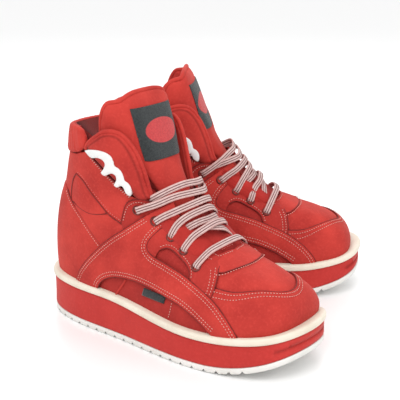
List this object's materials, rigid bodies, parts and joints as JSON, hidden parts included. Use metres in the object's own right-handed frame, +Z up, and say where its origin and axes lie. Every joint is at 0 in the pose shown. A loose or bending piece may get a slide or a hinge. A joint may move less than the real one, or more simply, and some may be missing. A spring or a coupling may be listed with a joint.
{
  "type": "platform high-top lace-up boots",
  "caption": "Pair of red nubuck platform high-top boots with a thick rubber sole, padded collar wings, tall tongue and striped laces.",
  "frame": {"origin": "bottom centre of the pair's box, on the ground under both soles", "axes": "+X from the right boot's heel to its toe, +Y to the wearer's left, +Z up"},
  "size_m": [0.3134, 0.2908, 0.2202],
  "materials": {
    "red_nubuck": "matte brushed nubuck",
    "red_lining": "matte knitted textile",
    "red_midsole": "satin moulded foam rubber",
    "cream_foxing": "satin",
    "white_rubber": "satin",
    "white_trim": "satin",
    "insole_board": "matte pressed fibre board",
    "woven_label": "matte woven",
    "lace_webbing": "matte woven, striped",
    "eyelets": "dark red enamel"
  },
  "bodies": {
    "right_boot": {"right_outsole": "white_rubber", "right_midsole": "red_midsole", "right_foxing_strip": "cream_foxing", "right_insole_board": "insole_board", "right_footbed": "red_lining", "right_heel_counter": "red_nubuck", "right_toe_mudguard": "red_nubuck", "right_vamp": "red_nubuck", "right_lining": "red_lining", "right_heel_tab": "red_nubuck", "right_tongue_lower": "red_nubuck", "right_lace": "lace_webbing", "right_flank_lateral": "red_nubuck", "right_eyestay_lateral": "red_nubuck", "right_eyelet_row_lateral": "eyelets", "right_ankle_panel_lateral": "red_nubuck", "right_collar_panel_lateral": "red_nubuck", "right_quarter_lateral": "red_nubuck", "right_collar_wing_lateral": "red_nubuck", "right_scallop_trim_lateral": "white_trim", "right_flank_medial": "red_nubuck", "right_eyestay_medial": "red_nubuck", "right_eyelet_row_medial": "eyelets", "right_ankle_panel_medial": "red_nubuck", "right_collar_panel_medial": "red_nubuck", "right_quarter_medial": "red_nubuck", "right_collar_wing_medial": "red_nubuck", "right_scallop_trim_medial": "white_trim"},
    "right_tongue": {"right_tongue_top": "red_nubuck", "right_tongue_label": "woven_label"},
    "left_boot": {"left_outsole": "white_rubber", "left_midsole": "red_midsole", "left_foxing_strip": "cream_foxing", "left_insole_board": "insole_board", "left_footbed": "red_lining", "left_heel_counter": "red_nubuck", "left_toe_mudguard": "red_nubuck", "left_vamp": "red_nubuck", "left_lining": "red_lining", "left_heel_tab": "red_nubuck", "left_tongue_lower": "red_nubuck", "left_lace": "lace_webbing", "left_flank_lateral": "red_nubuck", "left_eyestay_lateral": "red_nubuck", "left_eyelet_row_lateral": "eyelets", "left_ankle_panel_lateral": "red_nubuck", "left_collar_panel_lateral": "red_nubuck", "left_quarter_lateral": "red_nubuck", "left_collar_wing_lateral": "red_nubuck", "left_scallop_trim_lateral": "white_trim", "left_flank_medial": "red_nubuck", "left_eyestay_medial": "red_nubuck", "left_eyelet_row_medial": "eyelets", "left_ankle_panel_medial": "red_nubuck", "left_collar_panel_medial": "red_nubuck", "left_quarter_medial": "red_nubuck", "left_collar_wing_medial": "red_nubuck", "left_scallop_trim_medial": "white_trim"},
    "left_tongue": {"left_tongue_top": "red_nubuck", "left_tongue_label": "woven_label"}
  },
  "joints": [
    {"name": "left_boot_apart", "type": "slide", "parent": "right_boot", "child": "left_boot", "axis": [0, 1, 0], "range_m": [0, 0.25]},
    {"name": "right_tongue_fold", "type": "hinge", "parent": "right_boot", "child": "right_tongue", "pos_m": [0.0111, -0.0888, 0.152], "axis": [0, 1, 0], "range_deg": [-10, 24]},
    {"name": "left_tongue_fold", "type": "hinge", "parent": "left_boot", "child": "left_tongue", "pos_m": [-0.03526, 0.04359, 0.152], "axis": [-0.5299, 0.848, 0], "range_deg": [-10, 24]}
  ]
}
